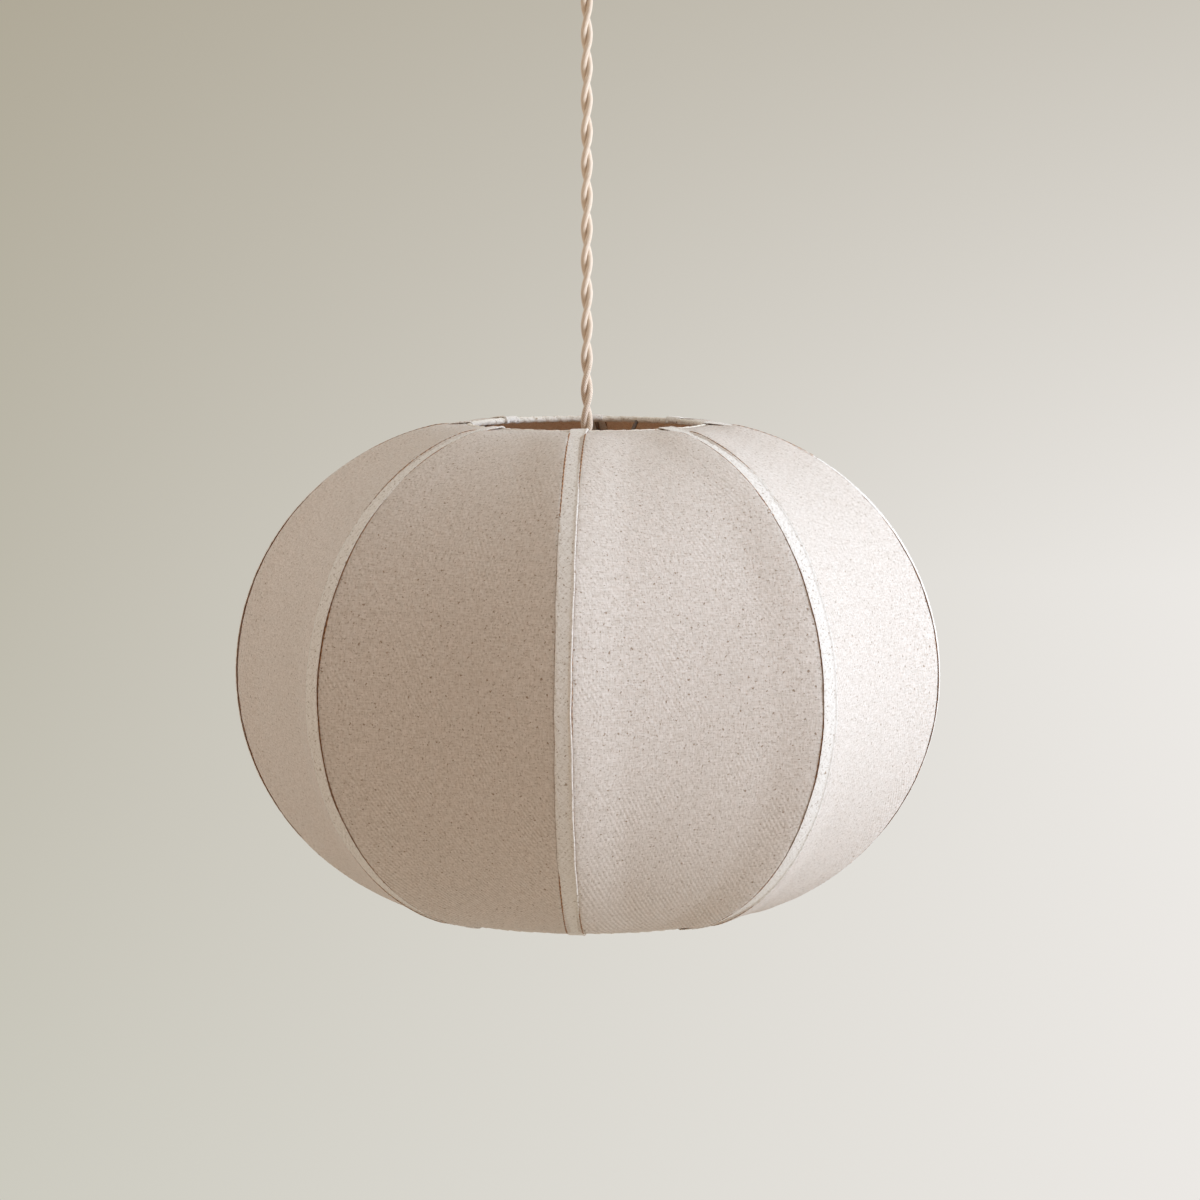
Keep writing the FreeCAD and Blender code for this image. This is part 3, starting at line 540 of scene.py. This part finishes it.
def linen(name, deep, pale, fleck, glow, through, cut=0.0, painted_edge_shade=None):
    """Linen on a map in metres.

    Warp and weft slubs are noise stretched five times along each thread's direction. The diagonal
    ribs are a sine of 0.86 u + 0.51 v that fades in and out in patches, and shows more low on a
    gore, whose v runs down from 0. The straw is the peaks of a finer and a coarser noise. cut is
    the angle between the threads and the map's axes. If a colour of edge shade is given, the
    cloth's two edges get it, on a strip's map, except where the strip folds round a ring: painted
    shade, the dark line of the crevice under each edge.
    """
    material, tree, shader, output = start_material(name)
    place = add(tree, "ShaderNodeTexCoord").outputs["UV"]
    u, v, _ = add(tree, "ShaderNodeSeparateXYZ", {0: place}).outputs
    threads = []
    for stretch in ((1.0, SLUB_STRETCH, 1.0), (SLUB_STRETCH, 1.0, 1.0)):
        laid = add(tree, "ShaderNodeMapping", {"Vector": place, "Rotation": (0, 0, cut)})
        laid = add(tree, "ShaderNodeMapping", {"Vector": laid, "Scale": stretch})
        threads.append(add(tree, "ShaderNodeTexNoise", {"Vector": laid, "Scale": 1 / SLUB,
                                                        "Detail": 2.0, "Roughness": 0.7}))
    slubs = add(tree, "ShaderNodeMath", {0: threads[0], 1: threads[1]}, operation="ADD")
    slope = (0.86 / RIB_SPACING, 0.51 / RIB_SPACING, 0.0)
    slant = add(tree, "ShaderNodeVectorMath", {0: place, 1: slope}, operation="DOT_PRODUCT")
    phase = add(tree, "ShaderNodeMath", {0: slant.outputs["Value"], 1: 2 * math.pi},
                operation="MULTIPLY")
    ribs = add(tree, "ShaderNodeMath", {0: phase}, operation="SINE")
    patches = add(tree, "ShaderNodeTexNoise", {"Vector": place, "Scale": 28.0, "Detail": 1.0})
    patches = add(tree, "ShaderNodeMapRange", {0: patches, 1: 0.45, 2: 0.75, 4: 0.14})
    low_down = add(tree, "ShaderNodeMapRange", {0: v, 1: -0.26, 2: -0.40, 4: 0.12})
    strength = add(tree, "ShaderNodeMath", {0: patches, 1: low_down}, operation="ADD")
    weave = add(tree, "ShaderNodeMath", {0: ribs, 1: strength, 2: slubs}, operation="MULTIPLY_ADD")
    weave = add(tree, "ShaderNodeMapRange", {0: weave, 1: 0.70, 2: 1.30})
    drift = add(tree, "ShaderNodeTexNoise", {"Vector": place, "Scale": 9.0, "Detail": 3.0})
    tone = tinted(tree, weave, 0, 1, deep, pale)
    tone = tinted(tree, drift, 0.35, 0.7, tone, deep, 0.18)
    for grain, start, weight in STRAW:
        straw = add(tree, "ShaderNodeTexNoise", {"Vector": place, "Scale": 1 / grain,
                                                 "Detail": 1.0})
        tone = tinted(tree, straw, start, start + 0.07, tone, fleck, weight)
    # Painted shade: the strip's two edges are tinted dark brown, the shadow line of the crevice
    # under them, except where the strip folds round a ring.
    if painted_edge_shade:
        aside = add(tree, "ShaderNodeMath", {0: u}, operation="ABSOLUTE")
        edge = add(tree, "ShaderNodeMapRange", {0: aside, 1: EDGE_SHADE_FROM, 2: EDGE_SHADE_TO})
        for start, end in ((8 * MM, 16 * MM), (RIB_LENGTH, RIB_LENGTH - 8 * MM)):
            inside = add(tree, "ShaderNodeMapRange", {0: v, 1: start, 2: end})
            edge = add(tree, "ShaderNodeMath", {0: edge, 1: inside}, operation="MULTIPLY")
        tone = tinted(tree, edge, 0, 1, tone, painted_edge_shade)
    tree.links.new(tone, shader.inputs["Base Color"])
    rough = add(tree, "ShaderNodeMapRange", {0: weave, 3: 0.96, 4: 0.86})
    tree.links.new(rough.outputs[0], shader.inputs["Roughness"])
    shader.inputs["Specular IOR Level"].default_value = 0.25
    shader.inputs["Sheen Weight"].default_value = 0.10
    bump = add(tree, "ShaderNodeBump", {"Strength": 0.2, "Distance": 0.30 * MM, "Height": weave})
    tree.links.new(bump.outputs[0], shader.inputs["Normal"])
    behind = add(tree, "ShaderNodeBsdfTranslucent", {"Color": linear(glow)})
    both = add(tree, "ShaderNodeMixShader", {0: through, 1: shader, 2: behind})
    tree.links.new(both.outputs[0], output.inputs["Surface"])
    return material


LINEN = linen("slubbed_linen", "#CDC6BA", "#F3EFE8", "#7C644C", "#E8BA88", 0.28)
TAPE_LINEN = linen("linen_tape", "#E0D8CA", "#F2ECE2", "#A88E70", "#DDB48C", 0.12)
for gore in gores:
    dress(gore, LINEN)
print("linen ready")


# %% [markdown]
# ## Strips over the ribs
# Along each rib a strip of the same linen, cut on the bias and folded, hides both gores' glued
# edges. It is stiff with glue, so it stays a flat band 11 mm wide where the gores fall away at an
# angle on both sides. It is folded lengthways, and the doubled edge makes a bead along one side
# that catches the light. Both edges are tinted dark brown: painted shade, the dark line of the
# crevice under each edge. At the rings the strip is folded over the wound tape to the inside.

# %% Strip path
STRIP_RISE = 2.0 * MM
STRIP_THICKNESS = 0.8 * MM
BEAD_HEIGHT = 0.55 * MM
BEAD_PLACE, BEAD_SPREAD = 0.84, 0.13  # in half widths from the strip's middle
WRAP = math.radians(115)


def strip_path(rows):
    """Centre points and outward directions in a rib's own plane, as (radius, height) pairs, and
    distances along the strip.

    From the inside of the top ring, a turn round the ring's tape, then the rib's arc pushed out by
    the strip's rise, then a turn round the lower ring's tape. Near the rings the rise grows to the
    tape's radius, so the three stretches meet without a step.
    """
    hug = RING_TAPE_RADIUS + 0.5 * STRIP_THICKNESS + 0.2 * MM
    place = np.linspace(0, RIB_LENGTH + 2 * WRAP * hug, rows)
    over = np.clip(place - WRAP * hug, 0, RIB_LENGTH)
    angle = rib_angle(over)
    near = np.minimum(over, RIB_LENGTH - over)
    rise = hug + (STRIP_RISE - hug) * smooth_step(near, 0, 30 * MM)
    top_turn = np.clip(WRAP * hug - place, 0, None) / hug
    low_turn = np.clip(place - WRAP * hug - RIB_LENGTH, 0, None) / hug
    facing = angle + top_turn - low_turn
    outward = np.stack([np.cos(facing), np.sin(facing)], axis=-1)
    base = np.stack(rib_point(angle), axis=-1)
    return base + rise[:, None] * outward, outward, place


def strip_points(seed, rows=300):
    """A strip's surface: a closed flat profile carried along the path.

    The profile is a rounded bar. Its height has a bead at one edge, and its edges wander by a
    fraction of a millimetre, as a hand-folded edge does. The map is the distances across and along
    the strip.
    """
    centre, outward, place = strip_path(rows)
    turn = np.linspace(0, 2 * math.pi, 36, endpoint=False)[None, :]
    across = np.sign(np.cos(turn)) * np.abs(np.cos(turn)) ** 0.45
    up = np.sign(np.sin(turn)) * np.abs(np.sin(turn)) ** 0.8
    wander = 0.35 * MM * ripple(seed, place[:, None] / (38 * MM), np.sign(across) * 0.37)
    width = (STRIP_HALF_WIDTH + wander) * across
    bead = BEAD_HEIGHT * np.exp(-((across - BEAD_PLACE) / BEAD_SPREAD) ** 2) * (up > 0)
    rough = 0.08 * MM * ripple(seed + 1, place[:, None] / (5 * MM), across * 2)
    height = STRIP_THICKNESS / 2 * up + bead + rough
    radius = centre[:, :1] + outward[:, :1] * height
    level = centre[:, 1:] + outward[:, 1:] * height
    points = np.stack([radius, width + 0 * radius, level], axis=-1)
    flat = points.mean(axis=1, keepdims=True)
    tip, tail = (np.repeat(end, turn.size, axis=1) for end in (flat[:1], flat[-1:]))
    points = np.concatenate([tip, points, tail])
    aside = STRIP_HALF_WIDTH * np.append(across, across[0, 0])
    return points, np.stack(np.meshgrid(aside, [0, *place, place[-1]]), axis=-1)


# The strips' linen, with painted shade in dark brown along both edges.
STRIP_LINEN = linen("bias_linen_strip", "#DAD4CA", "#F3EFE9", "#96816B", "#E0BC96", 0.15,
                    cut=math.pi / 4, painted_edge_shade="#744E31")
strips = []
for number in range(1, RIBS + 1):
    points, uv = strip_points(300 + 10 * number)
    points = turned(points, FIRST_RIB + (number - 1) * GORE_ANGLE)
    strip = close_poles(grid_mesh(f"rib_strip_{number}", points, uv, around=True))
    strips.append(dress(strip, STRIP_LINEN))
print(f"{len(strips)} strips of {len(strips[0].data.polygons)} faces")


# %% [markdown]
# ## Brown edge cord
# Under each edge of a strip lies a thin dark brown cord, where the gore disappears below: a dark
# thing put in the crevice as painted shade, to draw the line of its shadow. Seen straight on, the
# strip hides it. Seen from the side it draws the dark line that outlines each rib.

# %% Edge cords
EDGE_CORD_RADIUS = 0.65 * MM
EDGE_CORD_CORNERS = 12
PLY_TURNS = 150
END_TAPER = 60


def edge_cord_points(side, rows=260):
    """A thin tube that follows the cloth just under a strip's edge, its centre lifted by three
    tenths of its radius.

    The centre is a point of the cloth formula at a constant distance from the rib's plane. The
    tube's radius shrinks to a point at both ends.
    """
    clear = RING_TAPE_RADIUS + 1.5 * MM
    place = np.linspace(clear, RIB_LENGTH - clear, rows)
    angle = rib_angle(place)
    rib_reach = rib_point(angle)[0]
    aside = STRIP_HALF_WIDTH - 0.5 * MM
    azimuth = np.arcsin(side * aside / rib_reach)
    lift = seam_lift(aside, np.minimum(place, RIB_LENGTH - place), rib_reach)
    centre = cloth(angle, azimuth, PANEL_OUT + lift + 0.3 * EDGE_CORD_RADIUS)
    outward = np.stack([np.cos(angle) * np.cos(azimuth), np.cos(angle) * np.sin(azimuth),
                        np.sin(angle)], axis=-1)
    sideways = np.stack([-np.sin(azimuth), np.cos(azimuth), 0 * azimuth], axis=-1)
    turn = np.linspace(0, 2 * math.pi, EDGE_CORD_CORNERS, endpoint=False)[None, :, None]
    run = np.linspace(0, 1, rows)
    radius = EDGE_CORD_RADIUS * np.sqrt(np.clip(1 - np.abs(2 * run - 1) ** END_TAPER, 0, 1))
    twist = 1 + 0.10 * np.sin(2 * math.pi * run[:, None] * PLY_TURNS + 2 * turn[..., 0])
    ring = np.cos(turn) * outward[:, None, :] + np.sin(turn) * sideways[:, None, :]
    points = centre[:, None, :] + (radius[:, None] * twist)[..., None] * ring
    columns = np.linspace(0, 2 * math.pi * EDGE_CORD_RADIUS, EDGE_CORD_CORNERS + 1)
    return points, np.stack(np.meshgrid(columns, place), axis=-1)


def brown_cord():
    """Dark brown painted shade for the crevice under a strip's edge, made as a cord: a slanted ply
    pattern, duller in the grooves.
    """
    material, tree, shader, _ = start_material("crevice_shade_cord")
    place = add(tree, "ShaderNodeTexCoord").outputs["UV"]
    laid = add(tree, "ShaderNodeMapping", {"Vector": place, "Rotation": (0, 0, 0.7)})
    ply = add(tree, "ShaderNodeTexWave", {"Vector": laid, "Scale": 1 / (9 * MM),
                                          "Distortion": 1.5}).outputs["Fac"]
    tree.links.new(tinted(tree, ply, 0, 1, "#6B4427", "#A87B52"), shader.inputs["Base Color"])
    rough = add(tree, "ShaderNodeMapRange", {0: ply, 3: 0.85, 4: 0.6})
    tree.links.new(rough.outputs[0], shader.inputs["Roughness"])
    bump = add(tree, "ShaderNodeBump", {"Strength": 0.5, "Distance": 0.2 * MM, "Height": ply})
    tree.links.new(bump.outputs[0], shader.inputs["Normal"])
    return material


# Painted shade: a dark brown cord in the crevice under each strip edge draws that crevice's shadow
# line.
BROWN_CORD = brown_cord()
edge_cords = []
for number in range(1, RIBS + 1):
    turn = FIRST_RIB + (number - 1) * GORE_ANGLE
    sides = []
    for side in (-1, 1):
        points, uv = edge_cord_points(side)
        sides.append(grid_mesh(f"edge_cord_{number}_{side}", turned(points, turn), uv, around=True))
    edge_cords.append(dress(close_poles(join(f"edge_cord_{number}", sides)), BROWN_CORD))
print(f"{len(edge_cords)} edge cords")


# %% [markdown]
# ## Wound tape on the rings
# Each ring is wound with narrow linen tape, a spiral whose turns overlap. Every overlap leaves a
# small step that slants across the ring. The surface is a torus whose tube radius climbs slowly
# and drops at each step.

# %% Wind the rings
def wound_ring(name, ring_radius, height, seed):
    """A torus of tape: position round the ring is u and round the wire is v.

    tube radius = tape radius + step * sawtooth(turns * u + v) + a little roughness, with one turn
    of tape for each 8.5 mm of ring. The sawtooth's drop is softened over a tenth of its length.
    """
    rows, columns = 560, 28
    u = np.linspace(0, 2 * math.pi, rows, endpoint=False)[:, None]
    v = np.linspace(0, 2 * math.pi, columns, endpoint=False)[None, :]
    turns = round(2 * math.pi * ring_radius / (8.5 * MM))
    phase = (turns * u + v) / (2 * math.pi) % 1
    step = phase * (1 - smooth_step(phase, 0.9, 1.0))
    rough = ripple(seed, np.cos(u) * 9, np.sin(u) * 9, np.cos(v), np.sin(v))
    tube = RING_TAPE_RADIUS - 0.15 * MM + 0.42 * MM * step + 0.10 * MM * rough
    radius = ring_radius + tube * np.cos(v)
    points = np.stack([radius * np.cos(u), radius * np.sin(u), height + tube * np.sin(v)], axis=-1)
    across = np.linspace(0, 2 * math.pi * RING_TAPE_RADIUS, columns + 1)
    along = np.linspace(0, 2 * math.pi * ring_radius, rows + 1)
    uv = np.stack(np.meshgrid(across, along), axis=-1)
    return close_poles(grid_mesh(name, points, uv, around=True, along=True))


tapes = {"top": wound_ring("top_ring_tape", TOP_RADIUS, TOP_Z, 41),
         "bottom": wound_ring("bottom_ring_tape", BOTTOM_RADIUS, BOTTOM_Z, 42)}
for tape in tapes.values():
    dress(tape, TAPE_LINEN)
print("rings wound")


# %% [markdown]
# ## Hand the shade's pieces to the frame
# Everything on the shade moves with the shade's body. Each piece stands in for the plain solid that
# held its place.

# %% Attach the shade's cloth
for number, (gore, strip, edge) in enumerate(zip(gores, strips, edge_cords), 1):
    for piece in (gore, strip, edge):
        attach(piece, "shade")
    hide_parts(f"panel_{number}")
    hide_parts(f"rib_binding_{number}")
for place, tape in tapes.items():
    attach(tape, "shade")
    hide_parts(f"{place}_ring_binding")


# %% [markdown]
# ## Finishes of the hard parts
# The hard parts keep their measured shape and get the finish that their making gives them. One
# function covers the common case, a surface whose colour, roughness and relief vary with one
# grain. The grain's size, its stretch and its colours tell moulded plastic from rolled steel or
# glazed clay.

# %% One grained finish
def grained(name, deep, pale, grain, stretch=(1, 1, 1), rough=(0.4, 0.6), relief=0.02 * MM,
            metallic=0.0, **fixed):
    """A material on Object coordinates. grain is the pattern's size in metres and stretch scales it
    along each axis. fixed gives further sockets of the shader, with underscores for spaces."""
    material, tree, shader, _ = start_material(name)
    place = add(tree, "ShaderNodeTexCoord").outputs["Object"]
    laid = add(tree, "ShaderNodeMapping", {"Vector": place, "Scale": stretch})
    noise = add(tree, "ShaderNodeTexNoise", {"Vector": laid, "Scale": 1 / grain, "Detail": 4.0})
    wide = add(tree, "ShaderNodeTexNoise", {"Vector": place, "Scale": 45.0, "Detail": 2.0})
    tone = tinted(tree, noise, 0.3, 0.7, deep, pale)
    tone = tinted(tree, wide, 0.4, 0.75, tone, deep, 0.3)
    tree.links.new(tone, shader.inputs["Base Color"])
    rough = add(tree, "ShaderNodeMapRange", {0: noise, 1: 0.3, 2: 0.7, 3: rough[0], 4: rough[1]})
    tree.links.new(rough.outputs[0], shader.inputs["Roughness"])
    shader.inputs["Metallic"].default_value = metallic
    for socket, value in fixed.items():
        shader.inputs[socket.replace("_", " ")].default_value = value
    bump = add(tree, "ShaderNodeBump", {"Strength": 0.5, "Distance": relief, "Height": noise})
    tree.links.new(bump.outputs[0], shader.inputs["Normal"])
    return material


# Powder-coated steel: a slight orange peel, 1.5 mm across, under a satin film.
POWDER_COAT = grained("powder_coated_steel", "#DBD8D0", "#E6E3DC", 1.5 * MM, rough=(0.38, 0.5),
                      relief=0.05 * MM, Coat_Weight=0.15)
# Galvanised sheet: dull grey zinc with darker crystals.
ZINC = grained("galvanised_sheet", "#8C9092", "#B3B7B8", 4 * MM, rough=(0.35, 0.6), metallic=1.0)
# Zinc-plated screws: fine turning marks around the shank.
PLATED = grained("zinc_plated_steel", "#9C9C98", "#C9C9C4", 0.4 * MM, stretch=(1, 1, 8),
                 rough=(0.25, 0.45), metallic=1.0)
# Moulded nylon: matt, with a spark-eroded grain of half a millimetre.
NYLON = grained("moulded_nylon", "#D5D2C8", "#E0DED6", 0.5 * MM, rough=(0.5, 0.65),
                relief=0.03 * MM)
# Thermoset holder body: hard, dense and fairly glossy, cream white.
THERMOSET = grained("thermoset_moulding", "#D2CBBD", "#DDD7CA", 0.9 * MM, rough=(0.28, 0.4),
                    relief=0.015 * MM)
# Steatite ceramic: unglazed white body with a faint cream clouding.
CERAMIC = grained("steatite_ceramic", "#D9D6CC", "#E9E6DE", 2.5 * MM, rough=(0.45, 0.6))
# Pressed brass contacts.
BRASS = grained("pressed_brass", "#B08D4A", "#D6B872", 0.8 * MM, stretch=(1, 1, 5),
                rough=(0.25, 0.4), metallic=1.0)
# Brown lacquer on the wire of the shade frame: a fine brown mottle, half glossy.
LACQUERED_WIRE = grained("lacquered_steel_wire", "#3C2A1D", "#5E4633", 1.2 * MM, rough=(0.35, 0.55))
# PVC-insulated conductors.
INSULATION = grained("pvc_insulation", "#5A3A26", "#7A5238", 1.0 * MM, rough=(0.4, 0.5))
# Nickel-plated lamp cap and solder tip.
NICKEL = grained("nickel_plated_brass", "#A8A49C", "#D1CDC4", 0.9 * MM, stretch=(1, 1, 6),
                 rough=(0.2, 0.35), metallic=1.0)
SOLDER = grained("solder_tin", "#8E9092", "#BFC1C2", 1.2 * MM, rough=(0.3, 0.5), metallic=1.0)
# Black glass insulator of the lamp's foot.
VITRITE = grained("black_vitrite", "#0B0A0A", "#1B1918", 1.0 * MM, rough=(0.1, 0.2))
# Opal glass, etched inside: white, soft and slightly clear.
OPAL = grained("opal_glass", "#EFEBE2", "#F8F5EE", 3 * MM, rough=(0.22, 0.3),
               Transmission_Weight=0.25)

# %% Which part gets which finish
FINISHES = [
    (POWDER_COAT, ["canopy_cup"]),
    (ZINC, ["ceiling_bracket"]),
    (PLATED, ["canopy_screws", "terminal_screws", "holder_terminal_screws"]),
    (NYLON, ["terminal_block", "rose_cord_grip", "grip_screw", "grip_nut"]),
    (INSULATION, ["rose_conductors", "holder_conductors"]),
    (THERMOSET, ["holder_collar", "holder_cap", "holder_body", "shade_ring"]),
    (CERAMIC, ["contact_block"]),
    (BRASS, ["screw_shell", "centre_contact"]),
    (LACQUERED_WIRE, ["top_ring", "bottom_ring", "fitter_ring"]),
    (LACQUERED_WIRE, [f"rib_{number}" for number in range(1, RIBS + 1)]),
    (LACQUERED_WIRE, [f"spider_arm_{number}" for number in range(1, 4)]),
    (OPAL, ["bulb_envelope"]),
    (NICKEL, ["bulb_cap"]),
    (SOLDER, ["bulb_contact"]),
    (VITRITE, ["bulb_insulator"]),
]
for material, nodes in FINISHES:
    for node in nodes:
        dress(node, material)
print(f"{sum(len(nodes) for _, nodes in FINISHES)} frame nodes finished")


# %% [markdown]
# ## Floor and light
# The lamp hangs over a plain pale floor, far enough below not to show in the main view. The light
# is a large soft window on the right, a faint one on the left, and a pale room: its far wall
# brightens to the right and dims towards the ceiling, the ceiling overhead is bright, and the
# near side of the room is warm on the left, like a wooden wall, and neutral on the right.

# %% Floor
FLOOR_Z, FLOOR_HALF = -4.0, 12.0


def pale_floor(height, half):
    """A plain square sheet at one height."""
    corners = half * np.array([[-1, -1, 0], [1, -1, 0], [1, 1, 0], [-1, 1, 0]])
    corners[:, 2] = height
    floor = mesh_from("floor", corners, np.array([[0, 1, 2, 3]]), corners[:, :2])
    material, tree, shader, _ = start_material("pale_plaster")
    place = add(tree, "ShaderNodeTexCoord").outputs["Object"]
    cloud = add(tree, "ShaderNodeTexNoise", {"Vector": place, "Scale": 1.5, "Detail": 2.0})
    tree.links.new(tinted(tree, cloud, 0, 1, "#DDD5CA", "#E7E0D6"), shader.inputs["Base Color"])
    shader.inputs["Roughness"].default_value = 0.9
    dress(floor, material)


pale_floor(FLOOR_Z, FLOOR_HALF)


# %% Window light
LIGHT_DISTANCE = 2.4


def soft_light(name, azimuth, elevation, size, power, colour):
    """A rectangular area light that looks at the middle of the shade."""
    lamp = bpy.data.lights.new(name, "AREA")
    lamp.shape = "RECTANGLE"
    lamp.size, lamp.size_y = size
    lamp.energy = power
    lamp.color = linear(colour)[:3]
    stand(name, lamp, Vector((0, 0, MID_Z)), azimuth, elevation, LIGHT_DISTANCE)


soft_light("window", 80, 11, (1.4, 1.6), 82, "#DDEBFF")
soft_light("left_fill", -110, 5, (1.2, 1.2), 10, "#EEF1F4")


# %% Room light
def room_light(strength):
    """World colour by direction (x, y, z). The far wall is mixed from a left and a right colour by
    x, each dimmer as z rises to the horizon. The near side, where y points towards the viewer, is
    warm on the left and neutral on the right, again mixed by x. Overhead is bright."""
    world = bpy.data.worlds.new("room")
    bpy.context.scene.world = world
    world.use_nodes = True
    tree = world.node_tree
    tree.nodes.clear()
    direction = add(tree, "ShaderNodeTexCoord").outputs["Generated"]
    x, y, z = add(tree, "ShaderNodeSeparateXYZ", {0: direction}).outputs
    far_left = tinted(tree, z, -0.20, 0.02, "#CCCABF", "#AFA897")
    far_right = tinted(tree, z, -0.09, 0.03, "#ECE9E5", "#C6C1B6")
    far = tinted(tree, x, -0.17, 0.05, far_left, far_right)
    near = tinted(tree, x, -0.25, 0.45, "#AA7F58", "#B9AC9D")
    walls = tinted(tree, y, 0.25, -0.55, far, near)
    room = tinted(tree, z, 0.15, 0.75, walls, "#F4F1EC")
    sky = add(tree, "ShaderNodeBackground", {"Color": room, "Strength": strength})
    add(tree, "ShaderNodeOutputWorld", {"Surface": sky})


room_light(1.0)
bpy.context.scene.view_settings.view_transform = "Standard"
